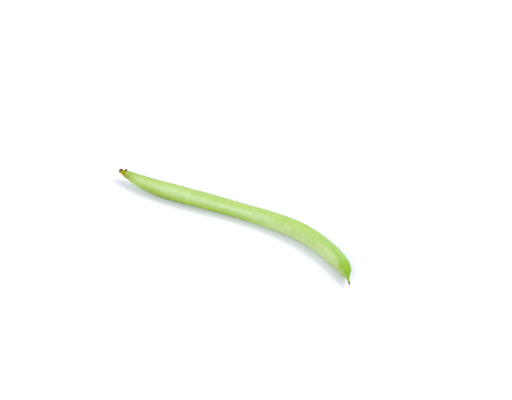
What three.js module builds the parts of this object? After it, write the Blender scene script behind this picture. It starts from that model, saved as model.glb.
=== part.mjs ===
// A green bean, as picked, lying on a table. Units are millimetres.
// +X runs along the chord from the stalk to the beak, +Y to the outside of the bend, and +Z is up.
// Four pieces: the pod, the dried calyx round its neck, a stub of stalk, and the dried end of the style.

import * as THREE from 'three';

// The centre line from the stalk's broken end to the style's point, on the table's plan with its height.
const SPINE_POINTS = [
  [-0.6, 0, 5.8],
  [13, 0.3, 5.0],
  [26, 2.3, 4.2],
  [39, 5.0, 4.4],
  [52, 8.2, 4.5],
  [65, 11.5, 4.25],
  [78, 14.4, 4.1],
  [91, 16.6, 4.3],
  [104, 17.6, 4.85],
  [117, 17.0, 5.0],
  [129.5, 14.3, 4.75],
  [141.3, 9.85, 4.45],
  [148.5, 3.65, 4.65],
  [152.1, -0.3, 4.8],
];

// Where each piece begins and ends, as distances along the centre line.
const JOINT_GAP = 0.2;
const STALK_END = 2.3;
const CALYX_START = STALK_END + JOINT_GAP;
const POD_START = 3.2;
const STYLE_TIP_LENGTH = 1.3;

// Half the pod's width at distances along the centre line: peg, neck, body with its slight waist, and beak.
const POD_RADII = [
  [POD_START, 0.95],
  [3.5, 1.25],
  [4.1, 1.58],
  [5, 1.9],
  [6.2, 2.13],
  [9, 2.6],
  [15, 3.35],
  [23, 3.95],
  [33, 4.4],
  [50, 4.35],
  [72, 4.1],
  [98, 4.5],
  [122, 4.7],
  [138, 4.45],
  [145, 4.1],
  [149.5, 3.4],
  [152, 2.2],
  [154.3, 1.08],
  [156.5, 0.64],
  [159, 0.46],
];
const FULL_RADIUS = 4.4;

// The section is an oval whose long axis joins the two seams. It rolls over towards the beak.
const OVAL = 0.03;
const SEAM_DROP_DEG = 30;
const ROLL_DEG = 72;
const ROLL_START = 80;
const ROLL_END = 150;

// Each seam is a low ridge with a shallow groove along its top. Near the beak the groove widens to a crease.
const RIDGE_RISE = 0.2;
const RIDGE_HALF_WIDTH = 1.1;
const GROOVE_DEPTH = 0.16;
const GROOVE_HALF_WIDTH = 0.32;
const CREASE_START = 130;
const CREASE_END = 146;
const CREASE_DEPTH = 0.4;
const CREASE_HALF_WIDTH = 0.75;

// The seeds swell both faces between the seams, one after another.
const SEED_FIRST = 31;
const SEED_PITCH = 13.2;
const SEED_COUNT = 9;
const SEED_SWELL = 0.3;
const SEED_HALF_LENGTH = 4.2;

// How finely the pod is divided.
const POD_SIDES = 36;
const SIDE_CROWDING = 0.22;
const BODY_STEP = 2.4;
const FINE_STEP = 0.8;
const BODY_START = 9;
const BODY_END = 145;

// The calyx is a small cup with five teeth. Its wall is drawn as [distance, radius, share of the tooth].
// One tooth has dried and curled outwards.
const CALYX_TEETH = 5;
const CALYX_SIDES = 40;
const CALYX_WALL = [
  [0, 1.15, 0],
  [0.3, 1.45, 0],
  [1.0, 1.75, 0],
  [1.35, 1.95, 0.8],
  [1.75, 2.0, 1],
  [1.6, 1.8, 0.8],
  [1.0, 1.5, 0],
  [0.5, 1.15, 0],
];
const TOOTH_TURN_DEG = 25;
const TOOTH_LENGTH = 1.7;
const TOOTH_SPREAD = 0.5;
const CURLED_TOOTH_DEG = 97;
const CURL_HALF_WIDTH = 0.5;
const CURL_RISE = 0.6;

// The stalk is a stub, a little swollen where it broke.
const STALK_SIDES = 20;
const STALK_RADII = [
  [0, 0.95],
  [0.2, 1.15],
  [0.8, 1.25],
  [1.5, 1.15],
  [STALK_END, 1.15],
];
const BREAK_SLANT = 0.3;

// The dried end of the style tapers to a blunt point.
const STYLE_SIDES = 12;
const STYLE_RADII = [
  [0, 0.42],
  [0.5, 0.4],
  [1.0, 0.32],
  [STYLE_TIP_LENGTH, 0.18],
];

const UP = new THREE.Vector3(0, 0, 1);
const spine = new THREE.CatmullRomCurve3(
  SPINE_POINTS.map((point) => new THREE.Vector3(...point)), false, 'catmullrom', 0.5);
spine.arcLengthDivisions = 1000;
const SPINE_LENGTH = spine.getLength();
const STYLE_START = SPINE_LENGTH - STYLE_TIP_LENGTH;
const POD_END = STYLE_START - JOINT_GAP;

// The centre line's point at a distance, with its direction and the two directions square to it.
function stationAt(distance) {
  const share = THREE.MathUtils.clamp(distance / SPINE_LENGTH, 0, 1);
  const centre = spine.getPointAt(share);
  const along = spine.getTangentAt(share);
  const near = new THREE.Vector3().crossVectors(along, UP).normalize();
  const rise = new THREE.Vector3().crossVectors(near, along);
  return { centre, along, near, rise };
}

// A smooth curve through [distance, value] pairs.
function smoothThrough(pairs, distance) {
  const last = pairs.length - 1;
  const slope = (i) => {
    const before = pairs[Math.max(i - 1, 0)];
    const after = pairs[Math.min(i + 1, last)];
    return (after[1] - before[1]) / (after[0] - before[0]);
  };
  let i = 0;
  while (i < last - 1 && distance > pairs[i + 1][0]) i += 1;
  const span = pairs[i + 1][0] - pairs[i][0];
  const t = THREE.MathUtils.clamp((distance - pairs[i][0]) / span, 0, 1);
  const rising = t * t * (3 - 2 * t);
  const startBend = t * (1 - t) * (1 - t) * span;
  const endBend = t * t * (t - 1) * span;
  const level = pairs[i][1] * (1 - rising) + pairs[i + 1][1] * rising;
  return level + slope(i) * startBend + slope(i + 1) * endBend;
}

// A hump of height 1 that falls away on both sides.
function hump(offset, halfWidth) {
  return Math.exp(-((offset / halfWidth) ** 2));
}

// How far the seeds swell the pod's faces at a distance, from 0 to 1.
function seedSwelling(distance) {
  let swelling = 0;
  for (let seed = 0; seed < SEED_COUNT; seed += 1) {
    swelling += hump(distance - SEED_FIRST - seed * SEED_PITCH, SEED_HALF_LENGTH);
  }
  return swelling;
}

// A point of the pod's skin. The angle runs round the pod from the near seam, over the top, to the far seam.
function podPoint(distance, angle) {
  const { centre, near, rise } = stationAt(distance);
  const radius = smoothThrough(POD_RADII, distance);
  const fullness = Math.min(radius / FULL_RADIUS, 1) ** 2;
  const rollShare = THREE.MathUtils.smoothstep(distance, ROLL_START, ROLL_END);
  const roll = THREE.MathUtils.degToRad(-SEAM_DROP_DEG - ROLL_DEG * rollShare);
  const fromSeam = radius * Math.asin(Math.min(Math.abs(Math.sin(angle)), 1));
  const creaseShare = THREE.MathUtils.smoothstep(distance, CREASE_START, CREASE_END);
  const grooveDepth = THREE.MathUtils.lerp(GROOVE_DEPTH, CREASE_DEPTH, creaseShare);
  const grooveWidth = THREE.MathUtils.lerp(GROOVE_HALF_WIDTH, CREASE_HALF_WIDTH, creaseShare);
  const seam = RIDGE_RISE * hump(fromSeam, RIDGE_HALF_WIDTH) - grooveDepth * hump(fromSeam, grooveWidth);
  const seeds = SEED_SWELL * seedSwelling(distance) * Math.sin(angle) ** 2;
  const reach = radius + (seam + seeds) * fullness;
  const across = reach * (1 + OVAL) * Math.cos(angle);
  const through = reach * (1 - OVAL) * Math.sin(angle);
  const point = centre.clone();
  point.addScaledVector(near, across * Math.cos(roll) - through * Math.sin(roll));
  point.addScaledVector(rise, across * Math.sin(roll) + through * Math.cos(roll));
  point.z = Math.max(point.z, 0);
  return point;
}

// A round section of the centre line, with a radius that may change with the angle.
function roundRing(distanceAt, radiusAt, sides) {
  const ring = [];
  for (let side = 0; side < sides; side += 1) {
    const angle = (side / sides) * 2 * Math.PI;
    const { centre, near, rise, along } = stationAt(distanceAt(angle));
    const overrun = distanceAt(angle) - THREE.MathUtils.clamp(distanceAt(angle), 0, SPINE_LENGTH);
    const point = centre.clone().addScaledVector(along, overrun);
    point.addScaledVector(near, radiusAt(angle) * Math.cos(angle));
    point.addScaledVector(rise, radiusAt(angle) * Math.sin(angle));
    ring.push(point);
  }
  return ring;
}

// A closed skin over a row of rings, with a flat cap on each end.
function loft(rings) {
  const sides = rings[0].length;
  const positions = [];
  const indices = [];
  const middleOf = (ring) => {
    const sum = ring.reduce((total, point) => total.add(point), new THREE.Vector3());
    return sum.divideScalar(sides);
  };
  for (const point of rings.flat()) positions.push(point.x, point.y, point.z);
  const startMiddle = rings.length * sides;
  const endMiddle = startMiddle + 1;
  for (const point of [middleOf(rings[0]), middleOf(rings.at(-1))]) positions.push(point.x, point.y, point.z);
  for (let side = 0; side < sides; side += 1) {
    const next = (side + 1) % sides;
    const lastRing = (rings.length - 1) * sides;
    for (let row = 0; row < lastRing; row += sides) {
      indices.push(row + side, row + sides + side, row + sides + next);
      indices.push(row + side, row + sides + next, row + next);
    }
    indices.push(startMiddle, side, next);
    indices.push(endMiddle, lastRing + next, lastRing + side);
  }
  const geometry = new THREE.BufferGeometry();
  geometry.setAttribute('position', new THREE.Float32BufferAttribute(positions, 3));
  geometry.setIndex(indices);
  geometry.computeVertexNormals();
  return geometry;
}

// Distances of the pod's rings: fine on the neck and the beak, wider apart on the body.
function podStations() {
  const stations = [];
  const walk = (start, end, step) => {
    const count = Math.round((end - start) / step);
    for (let i = 0; i < count; i += 1) stations.push(start + ((end - start) * i) / count);
  };
  walk(POD_START, BODY_START, FINE_STEP);
  walk(BODY_START, BODY_END, BODY_STEP);
  walk(BODY_END, POD_END, FINE_STEP);
  stations.push(POD_END);
  return stations;
}

function podGeometry() {
  const rings = podStations().map((distance) => {
    const ring = [];
    for (let side = 0; side < POD_SIDES; side += 1) {
      const even = (side / POD_SIDES) * 2 * Math.PI;
      ring.push(podPoint(distance, even - SIDE_CROWDING * Math.sin(2 * even)));
    }
    return ring;
  });
  return loft(rings);
}

function calyxGeometry() {
  const turn = THREE.MathUtils.degToRad(TOOTH_TURN_DEG);
  const curledAt = THREE.MathUtils.degToRad(CURLED_TOOTH_DEG);
  const tooth = (angle) => Math.max(Math.cos(CALYX_TEETH * (angle - turn)), 0);
  const curl = (angle) => hump(angle - curledAt, CURL_HALF_WIDTH);
  const rings = CALYX_WALL.map(([distance, radius, share]) => roundRing(
    (angle) => CALYX_START + distance + TOOTH_LENGTH * (1 - curl(angle)) * share * tooth(angle),
    (angle) => radius + (TOOTH_SPREAD + CURL_RISE * curl(angle)) * share * tooth(angle),
    CALYX_SIDES));
  return loft(rings);
}

function stalkGeometry() {
  const rings = STALK_RADII.map(([distance, radius]) => {
    const slant = BREAK_SLANT * (1 - distance / STALK_END);
    return roundRing((angle) => distance + slant * Math.sin(angle), () => radius, STALK_SIDES);
  });
  return loft(rings);
}

function styleTipGeometry() {
  const rings = STYLE_RADII.map(([distance, radius]) => roundRing(
    () => STYLE_START + distance, () => radius, STYLE_SIDES));
  return loft(rings);
}

function piece(name, geometry, look) {
  const mesh = new THREE.Mesh(geometry, new THREE.MeshStandardMaterial({ metalness: 0, ...look }));
  mesh.name = name;
  return mesh;
}

const bean = new THREE.Group();
bean.add(piece('pod', podGeometry(), { color: 0xb2d978, roughness: 0.42 }));
bean.add(piece('calyx', calyxGeometry(), { color: 0xa9752f, roughness: 0.8 }));
bean.add(piece('stalk', stalkGeometry(), { color: 0xa3a548, roughness: 0.7 }));
bean.add(piece('style_tip', styleTipGeometry(), { color: 0x6a4720, roughness: 0.8 }));

// The origin is the middle of the bean's underside box, on the table.
const box = new THREE.Box3().setFromObject(bean);
bean.position.set(-(box.min.x + box.max.x) / 2, -(box.min.y + box.max.y) / 2, -box.min.z);
bean.updateMatrixWorld(true);

export default bean;
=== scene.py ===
# %% [markdown]
# A green bean
# This notebook dresses one fresh green bean that lies on a pale table. The bean's size and place come from a
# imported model, called the frame. Blender adds what the eye sees: the seams, the swellings over the seeds, the
# dried calyx, the broken stalk, and the satin skin with its pale and deep greens.

# %% Load the frame
import math

import bpy
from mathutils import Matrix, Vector


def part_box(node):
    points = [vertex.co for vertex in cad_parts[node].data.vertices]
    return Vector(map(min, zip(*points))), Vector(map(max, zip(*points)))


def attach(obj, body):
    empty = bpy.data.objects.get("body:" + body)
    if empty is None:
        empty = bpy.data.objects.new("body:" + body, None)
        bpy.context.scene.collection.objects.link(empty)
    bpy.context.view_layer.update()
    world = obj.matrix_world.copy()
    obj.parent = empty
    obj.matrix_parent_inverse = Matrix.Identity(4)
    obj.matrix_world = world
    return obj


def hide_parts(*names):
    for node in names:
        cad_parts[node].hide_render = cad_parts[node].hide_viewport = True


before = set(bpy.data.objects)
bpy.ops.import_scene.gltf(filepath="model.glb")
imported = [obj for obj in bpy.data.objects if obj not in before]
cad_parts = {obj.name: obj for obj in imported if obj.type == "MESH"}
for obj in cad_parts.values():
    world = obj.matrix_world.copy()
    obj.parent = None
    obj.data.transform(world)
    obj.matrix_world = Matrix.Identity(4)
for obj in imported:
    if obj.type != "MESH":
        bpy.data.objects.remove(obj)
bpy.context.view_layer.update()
MM = 0.001
BODY = "root"
print("frame nodes:", sorted(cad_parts))

# %% [markdown]
# The camera comes first. It looks down on the bean from the front right, on the beak's side, at 42 degrees
# above the table. A long lens far away, as one would photograph food, keeps both ends of the bean at one
# scale. The camera sits where 0.55 mm at the bean fills one pixel of a picture 512 pixels wide.

# %% Camera
CAMERA_AZIMUTH = math.radians(35.26)
CAMERA_ELEVATION = math.radians(42)
CAMERA_LENS = 85
SENSOR_WIDTH = 36
PICTURE_WIDTH = 512
PIXEL_SIZE = 0.55 * MM
AIM = Vector((-0.01, 15.56, 4.3)) * MM

away = Vector((
    math.sin(CAMERA_AZIMUTH) * math.cos(CAMERA_ELEVATION),
    -math.cos(CAMERA_AZIMUTH) * math.cos(CAMERA_ELEVATION),
    math.sin(CAMERA_ELEVATION),
))
camera_distance = PIXEL_SIZE * PICTURE_WIDTH * CAMERA_LENS / SENSOR_WIDTH
camera = bpy.data.objects.new("camera", bpy.data.cameras.new("camera"))
camera.data.lens = CAMERA_LENS
camera.data.sensor_width = SENSOR_WIDTH
camera.data.clip_start = 0.01
camera.location = AIM + away * camera_distance
camera.rotation_euler = away.to_track_quat("Z", "Y").to_euler()
bpy.context.collection.objects.link(camera)
bpy.context.scene.camera = camera
bpy.context.scene.view_settings.view_transform = "Standard"
print("camera distance in mm:", round(camera_distance / MM, 1))

# %% [markdown]
# The table is one large white square. A wide lamp above and behind the bean throws a soft shadow forward.
# A second wide lamp beside the camera puts the long pale sheen on the pod. A bright, slightly blue sky fills
# the shadows, so that they look cool.

# %% Table, lamps and sky
TABLE_SIZE = 6.0
TABLE_WHITE = (0.87, 0.87, 0.94)
TABLE_ROUGHNESS = 0.6
SKY_COLOUR = (0.82, 0.89, 1.0)
SKY_STRENGTH = 0.78
# Each lamp has a name, a place in metres, a size in metres, a power in watts and a colour.
LAMPS = (
    ("back lamp", (0.35, 0.5, 0.9), 0.6, 6.2, (1.0, 0.95, 0.88)),
    ("front lamp", (-0.1, -0.75, 0.65), 0.55, 4.0, (1.0, 0.97, 0.92)),
)


def add_lamp(name, place, size, power, colour):
    """Add a square lamp that faces the bean."""
    data = bpy.data.lights.new(name, "AREA")
    data.size = size
    data.energy = power
    data.color = colour
    lamp = bpy.data.objects.new(name, data)
    lamp.location = place
    lamp.rotation_euler = Vector(place).to_track_quat("Z", "Y").to_euler()
    bpy.context.collection.objects.link(lamp)


def plain_material(name, colour, roughness):
    """A material with one colour, for the table only."""
    material = bpy.data.materials.new(name)
    material.use_nodes = True
    shader = material.node_tree.nodes["Principled BSDF"]
    shader.inputs["Base Color"].default_value = (*colour, 1)
    shader.inputs["Roughness"].default_value = roughness
    return material


half = TABLE_SIZE / 2
table_mesh = bpy.data.meshes.new("table")
table_corners = [(-half, -half, 0), (half, -half, 0), (half, half, 0), (-half, half, 0)]
table_mesh.from_pydata(table_corners, [], [(0, 1, 2, 3)])
table_mesh.materials.append(plain_material("white table", TABLE_WHITE, TABLE_ROUGHNESS))
table = bpy.data.objects.new("table", table_mesh)
bpy.context.collection.objects.link(table)

sky = bpy.data.worlds.new("sky")
sky.use_nodes = True
sky.node_tree.nodes["Background"].inputs["Color"].default_value = (*SKY_COLOUR, 1)
sky.node_tree.nodes["Background"].inputs["Strength"].default_value = SKY_STRENGTH
bpy.context.scene.world = sky

for lamp_values in LAMPS:
    add_lamp(*lamp_values)

# %% [markdown]
# Every piece of the bean follows one bent line, the spine. Geometry Nodes are a good way to make such pieces:
# a tree of nodes takes a plain tube and moves each of its points by a rule. The rules below are written as
# Python sums. The small class Wire stands for one socket of a node tree, and a sum of wires adds Math nodes,
# so that a rule reads as it would on paper. The same class serves materials later.

# %% Writing node trees as sums
def is_vector(item):
    """True for a tuple and for a wire that carries a vector."""
    return isinstance(item, tuple) or isinstance(item, Wire) and item.socket.type == "VECTOR"


class Wire:
    """An output socket. Sums written with it add Math or Vector Math nodes to its tree."""

    def __init__(self, graph, socket):
        self.graph = graph
        self.socket = socket

    def joined(self, operation, first, second):
        """One node for one sign of a sum."""
        if not is_vector(first) and not is_vector(second):
            return self.graph.node("ShaderNodeMath", {"operation": operation}, {0: first, 1: second})
        if operation == "MULTIPLY" and not (is_vector(first) and is_vector(second)):
            vector, scale = (first, second) if is_vector(first) else (second, first)
            return self.graph.node("ShaderNodeVectorMath", {"operation": "SCALE"}, {0: vector, 3: scale})
        return self.graph.node("ShaderNodeVectorMath", {"operation": operation}, {0: first, 1: second})

    def sibling(self, output):
        """Another output of the node that this wire comes from."""
        return Wire(self.graph, self.socket.node.outputs[output])

    def __add__(self, other):
        return self.joined("ADD", self, other)

    def __radd__(self, other):
        return self.joined("ADD", other, self)

    def __sub__(self, other):
        return self.joined("SUBTRACT", self, other)

    def __rsub__(self, other):
        return self.joined("SUBTRACT", other, self)

    def __mul__(self, other):
        return self.joined("MULTIPLY", self, other)

    def __rmul__(self, other):
        return self.joined("MULTIPLY", other, self)

    def __truediv__(self, other):
        return self.joined("DIVIDE", self, other)

    def __pow__(self, other):
        return self.joined("POWER", self, other)

    def __neg__(self):
        return self.joined("MULTIPLY", self, -1.0)


class Graph:
    """A node tree that is filled from Python."""

    def __init__(self, tree):
        self.tree = tree

    def node(self, kind, settings=None, inputs=None, output=0):
        """Add a node: its type, its settings, then the values or wires of its sockets."""
        made = self.tree.nodes.new(kind)
        for name, value in (settings or {}).items():
            setattr(made, name, value)
        for key, value in (inputs or {}).items():
            if isinstance(value, Wire):
                self.tree.links.new(value.socket, made.inputs[key])
            else:
                made.inputs[key].default_value = value
        return Wire(self, made.outputs[output])

    def call(self, operation, *values):
        """A Math node that has no sign of its own, such as SINE or MAXIMUM."""
        return self.node("ShaderNodeMath", {"operation": operation}, dict(enumerate(values)))

    def step(self, value, start, end, low=0.0, high=1.0):
        """A smooth step from low to high as the value goes from start to end."""
        return self.node(
            "ShaderNodeMapRange", {"interpolation_type": "SMOOTHSTEP"},
            {"Value": value, "From Min": start, "From Max": end, "To Min": low, "To Max": high})

    def hump(self, offset, half_width):
        """A bell of height 1 that falls away on both sides."""
        return self.call("EXPONENT", -((offset / half_width) ** 2.0))

    def parts(self, vector):
        """The three numbers of a vector."""
        split = self.node("ShaderNodeSeparateXYZ", None, {0: vector})
        return split, split.sibling(1), split.sibling(2)

    def vector(self, x, y, z):
        """Three numbers as one vector."""
        return self.node("ShaderNodeCombineXYZ", None, {0: x, 1: y, 2: z})

    def noise(self, vector, scale, detail=2.0):
        """Soft noise from 0 to 1."""
        return self.node(
            "ShaderNodeTexNoise", {"noise_dimensions": "3D"},
            {"Vector": vector, "Scale": scale, "Detail": detail})


# %% [markdown]
# The spine is a Bezier curve through fourteen points, drawn from the broken end of the stalk to the point of
# the style. It lies on the table's plan with a height for each point. The handles follow from the neighbours,
# so the line stays smooth with no more points than its shape needs.

# %% The spine
SPINE_MM = [
    (-0.6, 0, 5.8), (13, 0.3, 5.0), (26, 2.3, 4.2), (39, 5.0, 4.4), (52, 8.2, 4.5),
    (65, 11.5, 4.25), (78, 14.4, 4.1), (91, 16.6, 4.3), (104, 17.6, 4.85), (117, 17.0, 5.0),
    (129.5, 14.3, 4.75), (141.3, 9.85, 4.45), (148.5, 3.65, 4.65), (152.1, -0.3, 4.8),
]
SPINE_HOME_MM = (-75.64, -9.71, 0)
CURVE_STEPS = 64


def smooth_curve(name, points_mm):
    """A Bezier curve through points, with handles from the neighbours. A missing third number is 0."""
    points = [Vector((*point, 0)[:3]) * MM for point in points_mm]
    data = bpy.data.curves.new(name, "CURVE")
    data.dimensions = "3D"
    data.resolution_u = CURVE_STEPS
    spline = data.splines.new("BEZIER")
    spline.bezier_points.add(len(points) - 1)
    last = len(points) - 1
    for i, (point, knot) in enumerate(zip(points, spline.bezier_points)):
        before = points[max(i - 1, 0)]
        after = points[min(i + 1, last)]
        back = (point - before).length
        ahead = (after - point).length
        lean = (after - before) / (back + ahead)
        knot.handle_left_type = knot.handle_right_type = "FREE"
        knot.co = point
        knot.handle_left = point - lean * back / 3
        knot.handle_right = point + lean * ahead / 3
    return bpy.data.objects.new(name, data)


spine = smooth_curve("spine", [tuple(a + b for a, b in zip(point, SPINE_HOME_MM)) for point in SPINE_MM])
spine_length = spine.data.splines[0].calc_length(resolution=CURVE_STEPS)
print("spine length in mm:", round(spine_length / MM, 2))

# %% [markdown]
# Each piece is a tube that has been pulled over an outline and bent along the spine. The outline is a second
# curve that gives, from one end of the piece to the other, how far along the spine a ring of points sits and
# how wide it is. The group below does the bending: it turns a distance along the spine and two offsets, one
# towards the near side and one upwards, into a place in the room.

# %% A node group that bends a piece along the spine
BEND_SOCKETS = (("Spine", "NodeSocketObject"), ("Distance", "NodeSocketFloat"),
                ("Near", "NodeSocketFloat"), ("Rise", "NodeSocketFloat"))


def new_tree(name, inputs, outputs):
    """A node tree with named sockets, and its wires from the group input."""
    tree = bpy.data.node_groups.new(name, "GeometryNodeTree")
    for label, kind in inputs:
        tree.interface.new_socket(label, in_out="INPUT", socket_type=kind)
    for label, kind in outputs:
        tree.interface.new_socket(label, in_out="OUTPUT", socket_type=kind)
    graph = Graph(tree)
    entry = tree.nodes.new("NodeGroupInput")
    wires = {label: Wire(graph, entry.outputs[label]) for label, _ in inputs}
    return graph, wires


def finish_tree(graph, result):
    """Link the last wire to the group's output."""
    leave = graph.tree.nodes.new("NodeGroupOutput")
    graph.tree.links.new(result.socket, leave.inputs[0])
    return graph.tree


def make_bend_group():
    """The group that turns a distance and two offsets into a place."""
    graph, given = new_tree("bend along spine", BEND_SOCKETS, (("Place", "NodeSocketVector"),))
    line = graph.node("GeometryNodeObjectInfo", {"transform_space": "ORIGINAL"}, {"Object": given["Spine"]})
    sampled = graph.node(
        "GeometryNodeSampleCurve", {"mode": "LENGTH"},
        {"Curves": line.sibling("Geometry"), "Length": given["Distance"]}, "Position")
    along = sampled.sibling("Tangent")
    side = graph.node("ShaderNodeVectorMath", {"operation": "CROSS_PRODUCT"}, {0: along, 1: (0, 0, 1)})
    near = graph.node("ShaderNodeVectorMath", {"operation": "NORMALIZE"}, {0: side})
    rise = graph.node("ShaderNodeVectorMath", {"operation": "CROSS_PRODUCT"}, {0: near, 1: along})
    place = sampled + near * given["Near"] + rise * given["Rise"]
    return finish_tree(graph, place)


bend_group = make_bend_group()

# %% [markdown]
# One function builds the tree of every piece. It starts from a tube and reads the outline ring by ring. It
# hands the ring's distance, radius and angle to the piece's own rule, and bends the result along the spine.
# Nothing may sink below the table, so the lowest points are pressed flat, as a real pod is where it rests.

# %% The tree that all pieces share
PIECE_SOCKETS = (
    ("Geometry", "NodeSocketGeometry"), ("Spine", "NodeSocketObject"), ("Outline", "NodeSocketObject"),
    ("Rings", "NodeSocketInt"), ("Sides", "NodeSocketInt"), ("Material", "NodeSocketMaterial"))
MERGE_DISTANCE = 0.002 * MM
# Places are raised to at least this one. The room is much smaller than a metre, so only z matters.
LOWEST_PLACE = (-1.0, -1.0, 0.0)


def make_piece_tree(name, rule, sizes):
    """A tree that pulls a tube over an outline, shapes it by a rule and bends it along the spine."""
    sockets = PIECE_SOCKETS + tuple((label, "NodeSocketFloat") for label in sizes)
    graph, given = new_tree(name, sockets, (("Geometry", "NodeSocketGeometry"),))
    tube = graph.node(
        "GeometryNodeMeshCylinder", {"fill_type": "NONE"},
        {"Vertices": given["Sides"], "Side Segments": given["Rings"], "Radius": 1.0, "Depth": 1.0})
    x, y, z = graph.parts(graph.node("GeometryNodeInputPosition"))
    angle = graph.call("ARCTAN2", y, x)
    line = graph.node("GeometryNodeObjectInfo", {"transform_space": "ORIGINAL"}, {"Object": given["Outline"]})
    ring = graph.node(
        "GeometryNodeSampleCurve", {"mode": "FACTOR"},
        {"Curves": line.sibling("Geometry"), "Factor": z + 0.5}, "Position")
    distance, radius, share = graph.parts(ring)
    shaped = rule(graph, given, {"distance": distance, "radius": radius, "share": share, "angle": angle})
    place = graph.node(
        "GeometryNodeGroup", {"node_tree": bend_group},
        {"Spine": given["Spine"], "Distance": shaped["distance"],
         "Near": shaped["near"], "Rise": shaped["rise"]})
    on_table = graph.node("ShaderNodeVectorMath", {"operation": "MAXIMUM"}, {0: place, 1: LOWEST_PLACE})
    mesh = tube
    for label, value in shaped["kept"].items():
        mesh = graph.node(
            "GeometryNodeStoreNamedAttribute", {"data_type": "FLOAT", "domain": "POINT"},
            {"Geometry": mesh, "Name": label, "Value": value})
    mesh = graph.node("GeometryNodeSetPosition", None, {"Geometry": mesh, "Position": on_table})
    mesh = graph.node("GeometryNodeMergeByDistance", None, {"Geometry": mesh, "Distance": MERGE_DISTANCE})
    mesh = graph.node("GeometryNodeFlipFaces", None, {"Mesh": mesh})
    mesh = graph.node("GeometryNodeSetShadeSmooth", None, {"Geometry": mesh})
    mesh = graph.node("GeometryNodeRealizeInstances", None, {"Geometry": mesh})
    mesh = graph.node("GeometryNodeSetMaterial", None, {"Geometry": mesh, "Material": given["Material"]})
    return finish_tree(graph, mesh)


def grow(name, tree, values):
    """Run a tree on an empty object and keep its result as a plain mesh."""
    seedling = bpy.data.objects.new(name + " seedling", bpy.data.meshes.new(name + " seedling"))
    bpy.context.collection.objects.link(seedling)
    modifier = seedling.modifiers.new("grow", "NODES")
    modifier.node_group = tree
    for item in tree.interface.items_tree:
        if item.in_out == "INPUT" and item.name in values:
            modifier[item.identifier] = values[item.name]
    ready = seedling.evaluated_get(bpy.context.evaluated_depsgraph_get())
    mesh = bpy.data.meshes.new_from_object(ready)
    mesh.name = name
    bpy.data.objects.remove(seedling)
    piece = bpy.data.objects.new(name, mesh)
    bpy.context.collection.objects.link(piece)
    triangles = sum(len(face.vertices) - 2 for face in mesh.polygons)
    print(name, "has", len(mesh.vertices), "vertices and", triangles, "triangles")
    return piece


# %% [markdown]
# Now the pod's form. Its section is a slight oval whose long axis joins the two seams. Each seam is a low
# ridge with a fine groove along the top. Between the seams nine seeds swell the faces a little. Past the
# middle the pod rolls over, so that the far seam comes up. Near the beak the groove widens to a crease, which
# runs out along the beak. Faint ribs and lumps made with noise keep the faces from looking turned on a lathe.

# %% The pod's outline and sizes
POD_START_MM = 3.2
STYLE_LENGTH_MM = 1.3
style_start_mm = spine_length / MM - STYLE_LENGTH_MM
# A point of an outline is a distance along the spine and a radius there, both in millimetres.
POD_OUTLINE_MM = [
    (POD_START_MM, 0), (POD_START_MM, 0.95), (3.5, 1.3), (4.1, 1.7), (5, 1.95), (6.2, 2.15), (9, 2.6),
    (15, 3.35), (23, 3.95), (33, 4.4), (50, 4.35), (72, 4.1), (98, 4.5), (122, 4.7), (138, 4.45),
    (145, 4.1), (149.5, 3.4), (152, 2.2), (154.3, 1.08), (156.5, 0.64),
    (style_start_mm, 0.48), (style_start_mm + 0.1, 0),
]
POD_RINGS = 640
POD_SIDES = 96
POD_SIZES = {
    "Full Radius": 4.4 * MM, "Oval": 0.03, "Seam Drop": math.radians(30), "Roll": math.radians(72),
    "Roll Start": 80 * MM, "Roll End": 150 * MM, "Ridge Rise": 0.2 * MM, "Ridge Width": 1.1 * MM,
    "Groove Depth": 0.16 * MM, "Groove Width": 0.3 * MM, "First Seed": 31 * MM, "Seed Pitch": 13.2 * MM,
    "Last Seed": 8.0, "Seed Swell": 0.3 * MM, "Seed Length": 4.2 * MM, "Crowding": 0.22,
    "Rib Rise": 0.03 * MM, "Lump Rise": 0.14 * MM, "Crease Depth": 0.4 * MM,
    "Crease Width": 0.75 * MM, "Crease Start": 130 * MM, "Crease End": 146 * MM,
}

# %% [markdown]
# Noise on a tube has to meet itself where the angle starts again. So it is read at the cosine and sine of the
# angle, not at the angle. Four numbers make a pattern: how fast the noise changes around the piece and along
# it, its scale and its detail. A small number along the piece draws the noise out into streaks.

# %% Patterns of noise round a piece
RIB_PATTERN = (2.2, 0.02, 4.0, 3.0)
LUMP_PATTERN = (0.6, 0.09, 1.0, 1.0)


def pattern_place(graph, cosine, sine, along, pattern):
    """Where a pattern is read, for a place given by its angle and its distance in millimetres."""
    return graph.vector(cosine * pattern[0], sine * pattern[0], along * pattern[1])


def pattern_noise(graph, cosine, sine, along, pattern):
    """Noise from 0 to 1 in a pattern."""
    return graph.noise(pattern_place(graph, cosine, sine, along, pattern), *pattern[2:])


def pattern_relief(graph, cosine, sine, along, pattern):
    """Noise from -1 to 1 in a pattern, for relief that goes both ways."""
    return pattern_noise(graph, cosine, sine, along, pattern) * 2.0 - 1.0


# %% The pod's rule
def grown(start, end, share):
    """A size that grows from one value to another."""
    return start + (end - start) * share


def seed_swelling(graph, given, distance):
    """How far the nearest seed swells the faces at a distance, from 0 to 1."""
    place = (distance - given["First Seed"]) / given["Seed Pitch"]
    below_last = graph.call("MINIMUM", graph.call("ROUND", place), given["Last Seed"])
    nearest = graph.call("MAXIMUM", below_last, 0.0)
    return graph.hump((place - nearest) * given["Seed Pitch"], given["Seed Length"])


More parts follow.
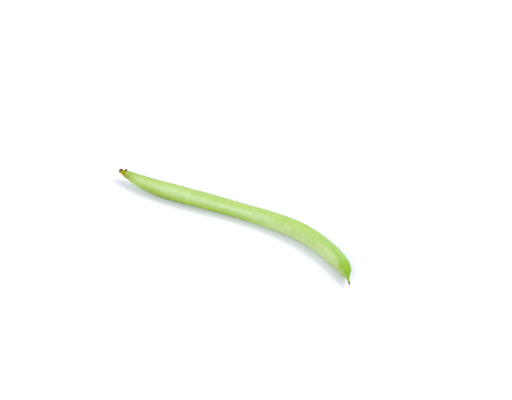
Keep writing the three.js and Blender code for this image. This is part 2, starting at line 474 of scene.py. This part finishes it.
def pod_rule(graph, given, ring):
    """The pod's section at one ring."""
    distance = ring["distance"]
    radius = ring["radius"]
    along = distance / MM
    angle = ring["angle"] - given["Crowding"] * graph.call("SINE", ring["angle"] * 2.0)
    cosine = graph.call("COSINE", angle)
    sine = graph.call("SINE", angle)
    fullness = graph.call("MINIMUM", radius / given["Full Radius"], 1.0) ** 2.0
    from_seam = radius * graph.call("ARCSINE", graph.call("ABSOLUTE", sine))
    ridge = given["Ridge Rise"] * graph.hump(from_seam, given["Ridge Width"])
    crease_share = graph.step(distance, given["Crease Start"], given["Crease End"])
    groove_width = grown(given["Groove Width"], given["Crease Width"], crease_share)
    groove_depth = grown(given["Groove Depth"], given["Crease Depth"], crease_share)
    groove = groove_depth * graph.hump(from_seam, groove_width)
    seeds = given["Seed Swell"] * seed_swelling(graph, given, distance) * sine * sine
    ribs = given["Rib Rise"] * pattern_relief(graph, cosine, sine, along, RIB_PATTERN)
    lumps = given["Lump Rise"] * pattern_relief(graph, cosine, sine, along, LUMP_PATTERN)
    reach = radius + (ridge - groove + seeds + ribs + lumps) * fullness
    across = reach * (given["Oval"] + 1.0) * cosine
    through = reach * (1.0 - given["Oval"]) * sine
    roll_share = graph.step(distance, given["Roll Start"], given["Roll End"])
    roll = -(given["Seam Drop"] + given["Roll"] * roll_share)
    roll_cosine = graph.call("COSINE", roll)
    roll_sine = graph.call("SINE", roll)
    return {
        "distance": distance,
        "near": across * roll_cosine - through * roll_sine,
        "rise": across * roll_sine + through * roll_cosine,
        "kept": {"along": along, "seam cosine": cosine, "seam sine": sine},
    }


# %% [markdown]
# The skin. A fresh bean is yellow-green, with a satin, slightly waxy surface. Each feature of the skin is a
# mask from 0 to 1, made from the numbers that the tree has stored on the mesh, and each mask mixes one more
# colour over the last. So a feature can be moved or left out without touching the rest.

# %% A material's node tree
class Paint(Graph):
    """A material's node tree with its Principled shader."""

    def __init__(self, name):
        self.material = bpy.data.materials.new(name)
        self.material.use_nodes = True
        super().__init__(self.material.node_tree)
        self.shader = self.tree.nodes["Principled BSDF"]

    def attribute(self, name):
        """A number that the piece carries on its points."""
        return self.node("ShaderNodeAttribute", {"attribute_name": name}, None, "Fac")

    def place(self):
        """The point's place on the object, in millimetres."""
        return self.node("ShaderNodeTexCoord", None, None, "Object") * (1 / MM)

    def mix(self, share, below, above):
        """One colour over another."""
        colours = [(*item, 1) if isinstance(item, tuple) else item for item in (below, above)]
        return self.node(
            "ShaderNodeMix", {"data_type": "RGBA", "clamp_factor": True},
            {0: share, 6: colours[0], 7: colours[1]}, 2)

    def bump(self, height, distance):
        """Fine relief, as a height from 0 to 1 times a distance in metres."""
        return self.node("ShaderNodeBump", None, {"Height": height, "Distance": distance}, "Normal")

    def link(self, socket, wire):
        """Let a wire drive a socket of the shader."""
        self.tree.links.new(wire.socket, self.shader.inputs[socket])

    def set(self, **values):
        """Constant values for sockets of the shader."""
        for name, value in values.items():
            self.shader.inputs[name.replace("_", " ")].default_value = value

    def finish(self):
        """The material, once all its nodes are in."""
        print(self.material.name, "material has", len(self.tree.nodes), "nodes")
        return self.material


# %% [markdown]
# First, where a point lies on the pod: its distance from the stalk, and its angle from the near seam and from
# the far one. On the face that is seen, a boundary runs along the pod. Below it the skin is pale, partly from
# the wax bloom and partly as a painted sheen; above it green. The boundary follows the rolled face towards the
# far seam and wavers on the way.

# %% Where a point of the skin lies
# A span is where a smooth step begins and ends. Along the pod it is in millimetres from the stalk's end.
SHOWN_FACE_SPAN = (-0.05, 0.15)
ROLL_SPAN = (80.0, 150.0)
STALK_HALF_SPAN = (50.0, 20.0)
FAR_HALF_SPAN = (88.0, 102.0)
BEAK_HALF_SPAN = (100.0, 125.0)
TIP_SPAN = (140.5, 150.0)
# The boundary's angle from the near seam, how far it turns with the roll, and its bends along the pod.
# A bend has a place, a half length, both in millimetres, and a shift in radians.
EDGE_ANGLE = 1.64
EDGE_TURN = 1.257
EDGE_BENDS = (
    (38.0, 15.0, 0.22), (62.0, 12.0, -0.16), (110.0, 14.0, -0.16), (123.0, 8.0, -0.28), (136.0, 7.0, 0.1),
)
EDGE_TIP_SPAN = (140.0, 150.0)
EDGE_TIP_SHIFT = -0.26
EDGE_WAVER = 0.5
EDGE_SOFTNESS = 0.25
BROAD_PATTERN = (1.5, 0.06, 1.3, 2.0)
STREAK_PATTERN = (7.0, 0.22, 1.2, 3.0)
FINE_PATTERN = (9.0, 2.2, 1.4, 3.0)


class PodPlace:
    """Where a point of the skin lies on the pod, as wires that the masks read."""

    def __init__(self, paint):
        self.paint = paint
        self.along = paint.attribute("along")
        self.cosine = paint.attribute("seam cosine")
        self.sine = paint.attribute("seam sine")
        self.from_near = paint.call("ARCCOSINE", self.cosine)
        self.from_far = math.pi - self.from_near
        self.shown_face = paint.step(self.sine, *SHOWN_FACE_SPAN)
        self.stalk_half = self.within(STALK_HALF_SPAN)
        self.far_half = self.within(FAR_HALF_SPAN)
        self.tip = self.within(TIP_SPAN)
        self.streaks = self.noise(STREAK_PATTERN)
        self.fine = self.noise(FINE_PATTERN)
        self.below_edge = self.side_of_edge()

    def within(self, span):
        """A smooth step along the pod."""
        return self.paint.step(self.along, *span)

    def around(self, middle, half_length):
        """A soft band round the pod."""
        return self.paint.hump(self.along - middle, half_length)

    def noise(self, pattern):
        """Noise in a pattern round the pod."""
        return pattern_noise(self.paint, self.cosine, self.sine, self.along, pattern)

    def side_of_edge(self):
        """1 on the pale side of the boundary, 0 on the green side."""
        edge = EDGE_ANGLE + self.within(ROLL_SPAN) * self.shown_face * EDGE_TURN
        for middle, half_length, shift in EDGE_BENDS:
            edge = edge + self.around(middle, half_length) * shift
        edge = edge + self.within(EDGE_TIP_SPAN) * EDGE_TIP_SHIFT
        edge = edge + (self.noise(BROAD_PATTERN) - 0.5) * EDGE_WAVER
        return self.paint.step(self.from_near - edge, EDGE_SOFTNESS, -EDGE_SOFTNESS)


# %% [markdown]
# The ground colour is a fresh green, deeper beside the far seam and a little warmer towards the beak. The
# deeper green by the far seam is partly painted shade. Over the green lies a pale band that is partly the
# bloom, a milky layer of wax that a bean grows with, and partly a painted sheen. It is broken up by a mottled
# pattern, and it turns from pale to greyish past the middle of the pod.

# %% Greens, bloom and painted sheen
SKIN_GREEN = (0.405, 0.58, 0.14)
SEAM_GREEN = (0.36, 0.55, 0.09)
BEAK_GREEN = (0.345, 0.55, 0.13)
BLOOM_AND_SHEEN_PALE = (0.54, 0.655, 0.33)
BLOOM_AND_SHEEN_GREY = (0.50, 0.62, 0.26)
FAR_SEAM_HALF_ANGLE = 0.7
BEAK_GREEN_SPAN = (112.0, 134.0)
# The bloom begins between these angles from the near seam, and a little further off towards the stalk.
BLOOM_AND_SHEEN_SPAN = (0.58, 1.2)
BLOOM_AND_SHEEN_STALK_SHIFT = 0.3
BLOOM_AND_SHEEN_THINNEST = 0.55
MOTTLE_PATTERN = (3.0, 0.30, 1.5, 3.0)
MOTTLE_SPAN = (0.32, 0.62)


def ground_greens(paint, at):
    """The green that the other colours go over."""
    # Deeper green beside the far seam: partly the skin's own colour, partly painted shade.
    colour = paint.mix(paint.hump(at.from_far, FAR_SEAM_HALF_ANGLE) * 0.4, SKIN_GREEN, SEAM_GREEN)
    return paint.mix(at.within(BEAK_GREEN_SPAN), colour, BEAK_GREEN)


def add_bloom_and_sheen(paint, at, colour):
    """The milky bloom below the boundary, with a painted sheen in it."""
    off_seam = paint.step(at.from_near - at.stalk_half * BLOOM_AND_SHEEN_STALK_SHIFT, *BLOOM_AND_SHEEN_SPAN)
    off_seam = paint.call("MAXIMUM", off_seam, at.far_half)
    thickness = BLOOM_AND_SHEEN_THINNEST + (1.0 - BLOOM_AND_SHEEN_THINNEST) * paint.step(at.noise(MOTTLE_PATTERN), *MOTTLE_SPAN)
    # The pale band below the boundary: partly the wax bloom, partly a painted sheen.
    bloom_and_sheen = at.below_edge * off_seam * thickness
    colour = paint.mix(bloom_and_sheen * (1.0 - at.far_half), colour, BLOOM_AND_SHEEN_PALE)
    return paint.mix(bloom_and_sheen * at.far_half, colour, BLOOM_AND_SHEEN_GREY)


# %% [markdown]
# Low on the side, beside the near seam, the stalk half is painted a deep green. It is partly the skin's own
# deep green where there is little bloom, and partly painted shade on the lower flank. It turns to olive
# towards the stalk and along the seam itself, and there the painted shade is deepest.

# %% The deep green and painted shade beside the near seam
FLANK_GREEN_AND_SHADE = (0.293, 0.486, 0.005)
SEAM_OLIVE = (0.25, 0.36, 0.01)
FLANK_HALF_ANGLE = 0.72
FLANK_STALK_EXTRA = 0.12
FLANK_SPAN = (96.0, 62.0)
FLANK_START_SPAN = (11.0, 22.0)
FLANK_OLIVE_SPAN = (50.0, 28.0)
FLANK_SHARE = 0.92
SEAM_HALF_ANGLE = 0.28


def add_flank_green_and_shade(paint, at, colour):
    """The deep green beside the near seam, partly painted shade. Gives the colour and the flank's mask."""
    flank = paint.hump(at.from_near / (FLANK_HALF_ANGLE + FLANK_STALK_EXTRA * at.stalk_half), 1.0)
    flank = flank * at.within(FLANK_SPAN) * at.within(FLANK_START_SPAN)
    green = paint.mix(at.within(FLANK_OLIVE_SPAN), FLANK_GREEN_AND_SHADE, SEAM_OLIVE)
    # Painted shade on the lower flank, mixed with the skin's own deeper green.
    colour = paint.mix(flank * FLANK_SHARE, colour, green)
    # A second band of painted shade along the near seam.
    colour = paint.mix(paint.hump(at.from_near, SEAM_HALF_ANGLE) * flank * 0.5, colour, SEAM_OLIVE)
    return colour, flank


# %% [markdown]
# The tip. Above the boundary the green deepens towards the beak and is deepest where the pod narrows; this
# deeper green is partly painted shade, where the tip turns away from the light. Below the boundary the skin
# goes from pale to a shaded olive, which is painted shade at the lower end. The crease is a line of fresh
# green, and a pale patch lies on the shoulder beside it, partly a painted highlight and partly paler bloom.

# %% The tip
TIP_DEEP = (0.222, 0.44, 0.0)
TIP_PALE = (0.365, 0.495, 0.125)
TIP_DARK = (0.13, 0.32, 0.0)
TIP_SHADED = (0.28, 0.41, 0.06)
CREASE_GREEN = (0.22, 0.46, 0.03)
TIP_PALE_SPAN = (138.0, 150.0)
TIP_SHADED_SPAN = (150.0, 153.5)
NARROWING_MM = (153.7, 2.3)
NARROWING_HALF_ANGLE = 0.9
CREASE_HALF_ANGLE = 0.2
CREASE_SPAN = (130.0, 144.0)
SHOULDER_MM = (135.5, 7.5)
SHOULDER_ANGLE = 2.44
SHOULDER_HALF_ANGLE = 0.3


def add_tip(paint, at, colour):
    """The greens of the last two centimetres."""
    above_edge = 1.0 - at.below_edge
    # Deeper green above the boundary at the tip: partly painted shade.
    colour = paint.mix(at.tip * above_edge * 0.95, colour, TIP_DEEP)
    colour = paint.mix(at.within(TIP_PALE_SPAN) * at.below_edge * 0.8, colour, TIP_PALE)
    narrowing = at.around(*NARROWING_MM) * paint.hump(at.from_far, NARROWING_HALF_ANGLE)
    colour = paint.mix(narrowing * above_edge * 0.9, colour, TIP_DARK)
    # Painted shade on the lower end of the tip.
    colour = paint.mix(at.within(TIP_SHADED_SPAN) * at.below_edge * 0.55, colour, TIP_SHADED)
    crease = paint.hump(at.from_far, CREASE_HALF_ANGLE) * at.within(CREASE_SPAN)
    colour = paint.mix(crease * (0.6 - at.tip * 0.35), colour, CREASE_GREEN)
    shoulder = at.around(*SHOULDER_MM) * paint.hump(at.from_near - SHOULDER_ANGLE, SHOULDER_HALF_ANGLE)
    # The pale patch on the shoulder: partly a painted highlight, partly paler bloom.
    return paint.mix(shoulder * at.shown_face * 0.5, colour, BLOOM_AND_SHEEN_PALE)


# %% [markdown]
# The neck is olive, and brown where it enters the calyx. A broken olive line marks each seam. Brown flecks
# sit on the near seam, small brown specks on the pale side past the middle, and one olive bruise beside the
# crease near the tip.

# %% Neck, seams, flecks and bruise
NECK_OLIVE = (0.26, 0.41, 0.0)
NECK_BROWN = (0.27, 0.22, 0.03)
FLECK_BROWN = (0.25, 0.19, 0.03)
BRUISE_OLIVE = (0.30, 0.42, 0.03)
NECK_SPAN = (17.0, 6.0)
NECK_BROWN_SPAN = (4.8, 4.2)
LINE_HALF_ANGLE = 0.07
LINE_BREAK_SPAN = (0.4, 0.6)
FLECK_PATTERN = (5.0, 0.45, 1.0, 2.0)
FLECK_SPAN = (0.50, 0.62)
FLECK_MM = (36.0, 15.0)
FLECK_ANGLE = 0.15
FLECK_HALF_ANGLE = 0.25
SPECK_SPAN = (0.60, 0.72)
SPECK_START_SPAN = (95.0, 120.0)
BRUISE_MM = (148.6, 2.8)
BRUISE_ANGLE = 2.55
BRUISE_HALF_ANGLE = 0.24
BRUISE_GRAIN_SPAN = (0.3, 0.6)


def add_neck_and_seams(paint, at, colour):
    """The neck's olive and brown, and the broken line on each seam."""
    colour = paint.mix(at.within(NECK_SPAN) * 0.85, colour, NECK_OLIVE)
    colour = paint.mix(at.within(NECK_BROWN_SPAN) * 0.8, colour, NECK_BROWN)
    far_line = paint.hump(at.from_far, LINE_HALF_ANGLE) * (1.0 - at.within(BEAK_HALF_SPAN))
    line = paint.hump(at.from_near, LINE_HALF_ANGLE) + far_line
    return paint.mix(line * (0.25 + 0.4 * paint.step(at.streaks, *LINE_BREAK_SPAN)), colour, SEAM_OLIVE)


def add_spots(paint, at, colour):
    """Flecks on the near seam, specks on the pale side and the bruise."""
    fleck_zone = paint.hump(at.from_near - FLECK_ANGLE, FLECK_HALF_ANGLE) * at.around(*FLECK_MM)
    flecks = paint.step(at.noise(FLECK_PATTERN), *FLECK_SPAN) * fleck_zone
    colour = paint.mix(flecks * 0.8, colour, FLECK_BROWN)
    specks = paint.step(paint.noise(paint.place(), 1.0, 2.0), *SPECK_SPAN) * at.within(SPECK_START_SPAN)
    colour = paint.mix(specks * at.below_edge * 0.35, colour, FLECK_BROWN)
    bruise = paint.hump(at.from_near - BRUISE_ANGLE, BRUISE_HALF_ANGLE) * at.around(*BRUISE_MM)
    grain = 0.7 + 0.3 * paint.step(at.fine, *BRUISE_GRAIN_SPAN)
    return paint.mix(bruise * at.shown_face * grain, colour, BRUISE_OLIVE)


# %% [markdown]
# Skin is never even. Fine pale grains of wax, faint green streaks, and two sizes of soft mottling lighten and
# deepen the colour a little everywhere. Each is weak alone, and together they take away the look of plastic.
# Last come a tan mark where the neck was rubbed, and the brown of the style, which begins on the beak.

# %% Mottling, rub mark and dried end
NECK_TAN = (0.34, 0.25, 0.0)
STYLE_BROWN = (0.24, 0.16, 0.01)
WAX_SPAN = (0.35, 0.7)
WAX_SHARE = 0.10
STREAK_SPAN = (0.6, 0.35)
STREAK_SHARE = 0.12
SPECKLE_PATTERN = (3.2, 0.5, 1.0, 2.0)
CLOUD_PATTERN = (1.6, 0.12, 1.0, 1.0)
LIGHTER_SPAN = (0.45, 0.72)
DEEPER_SPAN = (0.52, 0.28)
RUB_MM = (7.7, 1.0)
RUB_ANGLE = 0.9
RUB_HALF_ANGLE = 0.5
DRIED_LENGTH_MM = 0.7


def add_mottling(paint, at, colour, flank):
    """Wax grains, streaks, speckle and cloud."""
    wax = paint.step(at.fine, *WAX_SPAN) * (1.0 - flank) * (1.0 - at.tip * 0.9)
    colour = paint.mix(wax * WAX_SHARE, colour, BLOOM_AND_SHEEN_PALE)
    colour = paint.mix(paint.step(at.streaks, *STREAK_SPAN) * STREAK_SHARE, colour, SEAM_GREEN)
    for pattern, share in ((SPECKLE_PATTERN, 0.14), (CLOUD_PATTERN, 0.12)):
        spots = at.noise(pattern)
        lighter = paint.step(spots, *LIGHTER_SPAN) * (1.0 - at.tip * 0.8)
        colour = paint.mix(lighter * share, colour, BLOOM_AND_SHEEN_PALE)
        colour = paint.mix(paint.step(spots, *DEEPER_SPAN) * share, colour, SEAM_OLIVE)
    return colour


def add_marks(paint, at, colour):
    """The rub mark on the neck and the dried end of the beak."""
    rubbed = at.around(*RUB_MM) * paint.hump(at.from_near - RUB_ANGLE, RUB_HALF_ANGLE) * at.shown_face
    colour = paint.mix(rubbed * 0.95, colour, NECK_TAN)
    return paint.mix(at.within((style_start_mm - DRIED_LENGTH_MM, style_start_mm)), colour, STYLE_BROWN)


# %% [markdown]
# The skin is put together here, in the order in which the colours lie over each other. Roughness varies a
# little with the streaks. Pores and grains are only bump, because they are too fine for the mesh. A little
# light goes through the skin, which is what makes a plant look fresh.

# %% The pod
POD_ROUGHNESS = (0.40, 0.52)
PORE_SCALE = 2.5
PORE_DEPTH = 0.04 * MM
SOFT_NOISE_SPAN = (0.2, 0.8)


def make_pod_skin():
    """The pod's material."""
    paint = Paint("pod skin")
    at = PodPlace(paint)
    colour = add_bloom_and_sheen(paint, at, ground_greens(paint, at))
    colour, flank = add_flank_green_and_shade(paint, at, colour)
    colour = add_tip(paint, at, colour)
    colour = add_neck_and_seams(paint, at, colour)
    colour = add_spots(paint, at, colour)
    colour = add_mottling(paint, at, colour, flank)
    colour = add_marks(paint, at, colour)
    paint.link("Base Color", colour)
    paint.link("Roughness", paint.step(at.streaks, *SOFT_NOISE_SPAN, *POD_ROUGHNESS))
    pores = paint.noise(paint.place(), PORE_SCALE, 3.0)
    paint.link("Normal", paint.bump(pores * 0.5 + at.fine * 0.6 + at.streaks * 0.6, PORE_DEPTH))
    paint.set(Subsurface_Weight=0.15, Subsurface_Scale=1.2 * MM, Subsurface_Radius=(1.0, 1.0, 0.35), IOR=1.36)
    return paint.finish()


pod_tree = make_piece_tree("pod", pod_rule, POD_SIZES)
pod_outline = smooth_curve("pod outline", POD_OUTLINE_MM)
pod = grow("pod_skin", pod_tree, {
    **POD_SIZES, "Spine": spine, "Outline": pod_outline, "Rings": POD_RINGS, "Sides": POD_SIDES,
    "Material": make_pod_skin()})
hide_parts("pod")
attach(pod, BODY)

# %% [markdown]
# The calyx is the little cup that held the flower. It has dried to a thin orange-brown skin with five pointed
# tan teeth that lie along the neck. One tooth, on top, has curled away from the pod and turned brown. The
# outline runs up the outside of the cup, over the rim and down the inside. The third number of a point, where
# there is one, says how much of a tooth that ring takes part in.

# %% The calyx's form
CALYX_OUTLINE_MM = [
    (2.5, 0), (2.5, 1.15), (2.8, 1.45), (3.5, 1.75), (3.85, 1.93, 0.75), (4.2, 2.02, 1.0),
    (4.6, 1.92, 1.0), (4.08, 1.8, 0.8), (3.5, 1.48), (3.1, 1.1), (3.05, 0),
]
CALYX_RINGS = 72
CALYX_SIDES = 160
CALYX_SIZES = {
    "Teeth": 5.0, "Tooth Turn": math.radians(25), "Tooth Length": 1.8, "Tooth Spread": 0.42,
    "Wrinkle Rise": 0.06 * MM, "Curled Tooth": math.radians(97), "Curl Width": 0.55, "Curl Rise": 1.05,
    "Curl Share": 0.85,
}
TOOTH_POINT = 0.9
WRINKLE_PATTERN = (5.0, 0.6, 1.5, 2.0)
WRINKLED_RADII = (0.2 * MM, 1.0 * MM)


def calyx_rule(graph, given, ring):
    """The cup's wall, which runs out into teeth at the rim."""
    distance = ring["distance"]
    radius = ring["radius"]
    angle = ring["angle"]
    cosine = graph.call("COSINE", angle)
    sine = graph.call("SINE", angle)
    teeth = graph.call("COSINE", (angle - given["Tooth Turn"]) * given["Teeth"])
    tooth = graph.call("MAXIMUM", teeth, 0.0) ** TOOTH_POINT * ring["share"]
    relief = pattern_relief(graph, cosine, sine, distance / MM, WRINKLE_PATTERN)
    wrinkles = given["Wrinkle Rise"] * relief * graph.step(radius, *WRINKLED_RADII)
    curl = graph.hump(angle - given["Curled Tooth"], given["Curl Width"])
    reach = radius + tooth * (given["Tooth Spread"] + given["Curl Rise"] * curl) + wrinkles
    return {
        "distance": distance + tooth * (1.0 - curl * given["Curl Share"]) * given["Tooth Length"],
        "near": reach * cosine,
        "rise": reach * sine,
        "kept": {"tooth": tooth / MM, "curl": curl, "seam sine": sine},
    }


# %% [markdown]
# Dried leaf is dull, so the shader reflects little and is rough. The cup's low side is orange, its top still
# olive, and noise breaks the change up into blotches. The teeth are tan and the curled one is brown.

# %% The calyx
CALYX_ORANGE = (0.43, 0.21, 0.0)
CALYX_OLIVE = (0.28, 0.33, 0.0)
TOOTH_TAN = (0.40, 0.30, 0.005)
CURL_BROWN = (0.20, 0.12, 0.02)
BLOTCH_SPAN = (0.48, 0.62)
LOW_SIDE_SPAN = (0.7, 0.0)
TOOTH_SPAN = (0.3, 0.8)
CURL_SPAN = (0.15, 0.5)
CALYX_ROUGHNESS = (0.7, 0.9)
CALYX_GRAIN = 0.05 * MM
DRY_LOOK = {"IOR": 1.4, "Specular_IOR_Level": 0.2}


def make_dried_calyx():
    """The calyx's material."""
    paint = Paint("dried calyx")
    tooth = paint.attribute("tooth")
    low_side = paint.step(paint.attribute("seam sine"), *LOW_SIDE_SPAN)
    spots = paint.noise(paint.place(), 1.3, 3.0)
    colour = paint.mix(paint.step(spots + low_side * 0.35, *BLOTCH_SPAN), CALYX_OLIVE, CALYX_ORANGE)
    colour = paint.mix(paint.step(tooth + (spots - 0.5) * 0.4, *TOOTH_SPAN) * 0.85, colour, TOOTH_TAN)
    colour = paint.mix(paint.step(tooth * paint.attribute("curl"), *CURL_SPAN), colour, CURL_BROWN)
    paint.link("Base Color", colour)
    paint.link("Roughness", paint.step(spots, *SOFT_NOISE_SPAN, *CALYX_ROUGHNESS))
    paint.link("Normal", paint.bump(paint.noise(paint.place(), 6.0, 3.0), CALYX_GRAIN))
    paint.set(**DRY_LOOK)
    return paint.finish()


calyx_tree = make_piece_tree("calyx", calyx_rule, CALYX_SIZES)
calyx_outline = smooth_curve("calyx outline", CALYX_OUTLINE_MM)
calyx = grow("calyx_cup", calyx_tree, {
    **CALYX_SIZES, "Spine": spine, "Outline": calyx_outline, "Rings": CALYX_RINGS, "Sides": CALYX_SIDES,
    "Material": make_dried_calyx()})
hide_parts("calyx")
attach(calyx, BODY)

# %% [markdown]
# The stalk is a short stub. Where the bean was pulled from the plant it tore, so its end is ragged. Fine
# fibres run along it. The raggedness is noise that pushes the points of the end face along the spine.

# %% The stalk's form
STALK_OUTLINE_MM = [
    (0.1, 0), (0.05, 0.5), (0.02, 0.95), (0.2, 1.18), (0.8, 1.27), (1.5, 1.25), (2.2, 1.2), (2.52, 1.2),
    (2.53, 0),
]
STALK_RINGS = 60
STALK_SIDES = 104
STALK_SIZES = {"Fibres": 13.0, "Fibre Rise": 0.05 * MM, "Tear Depth": 0.4 * MM}
FIBRED_RADII = (0.1 * MM, 0.9 * MM)
TEAR_END = (0.9 * MM, 0.2 * MM)


def stalk_rule(graph, given, ring):
    """A stub with lengthwise fibres and a torn end."""
    distance = ring["distance"]
    radius = ring["radius"]
    cosine = graph.call("COSINE", ring["angle"])
    sine = graph.call("SINE", ring["angle"])
    fibres = given["Fibre Rise"] * graph.call("SINE", ring["angle"] * given["Fibres"])
    reach = radius + fibres * graph.step(radius, *FIBRED_RADII)
    spot = graph.vector(cosine * radius / MM, sine * radius / MM, distance / MM)
    tear = given["Tear Depth"] * graph.noise(spot, 1.6, 3.0) * graph.step(distance, *TEAR_END)
    return {
        "distance": distance + tear,
        "near": reach * cosine,
        "rise": reach * sine,
        "kept": {"along": distance / MM, "upper": sine},
    }


# %% [markdown]
# The torn end has dried to a dark red-brown, further along on its upper side. The rest is still olive green.

# %% The stalk
STALK_OLIVE = (0.33, 0.43, 0.01)
STALK_BROWN = (0.22, 0.065, 0.004)
STALK_DARK = (0.10, 0.028, 0.003)
TORN_SPAN = (1.15, 0.65)
TORN_SLANT = 1.2
DARK_SPAN = (0.45, 0.62)
STALK_ROUGHNESS = (0.6, 0.85)
STALK_GRAIN = 0.06 * MM


def make_stalk_paint():
    """The stalk's material."""
    paint = Paint("stalk")
    spots = paint.noise(paint.place(), 1.8, 3.0)
    ragged = paint.attribute("along") + (spots - 0.5) * 0.8
    torn = paint.step(ragged - paint.attribute("upper") * TORN_SLANT, *TORN_SPAN)
    colour = paint.mix(torn, STALK_OLIVE, STALK_BROWN)
    colour = paint.mix(torn * paint.step(spots, *DARK_SPAN), colour, STALK_DARK)
    paint.link("Base Color", colour)
    paint.link("Roughness", paint.step(spots, *SOFT_NOISE_SPAN, *STALK_ROUGHNESS))
    paint.link("Normal", paint.bump(paint.noise(paint.place(), 5.0, 3.0), STALK_GRAIN))
    paint.set(**DRY_LOOK)
    return paint.finish()


stalk_tree = make_piece_tree("stalk", stalk_rule, STALK_SIZES)
stalk_outline = smooth_curve("stalk outline", STALK_OUTLINE_MM)
stalk = grow("stalk_stub", stalk_tree, {
    **STALK_SIZES, "Spine": spine, "Outline": stalk_outline, "Rings": STALK_RINGS, "Sides": STALK_SIDES,
    "Material": make_stalk_paint()})
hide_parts("stalk")
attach(stalk, BODY)

# %% [markdown]
# The style is the thread that the flower's pollen grew down. Its last millimetre stays on the point of the
# beak. It has shrivelled and dried to brown, and it is darkest at its blunt end.

# %% The style's dried end
STYLE_OUTLINE_MM = [
    (style_start_mm - 0.1, 0), (style_start_mm - 0.1, 0.42), (style_start_mm + 0.1, 0.48),
    (style_start_mm + 0.5, 0.44), (style_start_mm + 1.0, 0.34), (style_start_mm + 1.25, 0.18),
    (style_start_mm + 1.28, 0),
]
STYLE_RINGS = 40
STYLE_SIDES = 32
STYLE_SIZES = {"Shrivel": 0.05 * MM}
STYLE_FULL_RADIUS = 0.36 * MM
SHRIVEL_PATTERN = (1.0, 1.0, 1.5, 2.0)
STYLE_DARK = (0.12, 0.06, 0.015)
STYLE_DARK_SPAN = (0.3, 1.1)
STYLE_ROUGHNESS = (0.7, 0.9)
STYLE_GRAIN = 0.03 * MM


def style_rule(graph, given, ring):
    """A shrivelled thread."""
    distance = ring["distance"]
    radius = ring["radius"]
    cosine = graph.call("COSINE", ring["angle"])
    sine = graph.call("SINE", ring["angle"])
    relief = pattern_relief(graph, cosine, sine, distance / MM, SHRIVEL_PATTERN)
    reach = radius + given["Shrivel"] * relief * radius / STYLE_FULL_RADIUS
    return {
        "distance": distance,
        "near": reach * cosine,
        "rise": reach * sine,
        "kept": {"along": distance / MM - style_start_mm},
    }


def make_style_paint():
    """The style's material."""
    paint = Paint("dried style")
    spots = paint.noise(paint.place(), 3.0, 2.0)
    dark = paint.step(paint.attribute("along") + spots * 0.4, *STYLE_DARK_SPAN)
    paint.link("Base Color", paint.mix(dark, STYLE_BROWN, STYLE_DARK))
    paint.link("Roughness", paint.step(spots, *SOFT_NOISE_SPAN, *STYLE_ROUGHNESS))
    paint.link("Normal", paint.bump(paint.noise(paint.place(), 8.0, 2.0), STYLE_GRAIN))
    paint.set(**DRY_LOOK)
    return paint.finish()


style_tree = make_piece_tree("style", style_rule, STYLE_SIZES)
style_outline = smooth_curve("style outline", STYLE_OUTLINE_MM)
style = grow("style_thread", style_tree, {
    **STYLE_SIZES, "Spine": spine, "Outline": style_outline, "Rings": STYLE_RINGS, "Sides": STYLE_SIDES,
    "Material": make_style_paint()})
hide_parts("style_tip")
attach(style, BODY)

# %% [markdown]
# Last, the size of each piece is compared with its solid in the frame, and the differences are printed.

# %% Sizes and the end
for node, piece in (("pod", pod), ("calyx", calyx), ("stalk", stalk), ("style_tip", style)):
    node_low, node_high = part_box(node)
    corners = [Vector(corner) for corner in piece.bound_box]
    low = [round((min(corner[i] for corner in corners) - node_low[i]) / MM, 2) for i in range(3)]
    high = [round((max(corner[i] for corner in corners) - node_high[i]) / MM, 2) for i in range(3)]
    print(piece.name, "differs from its node by", low, high, "mm")
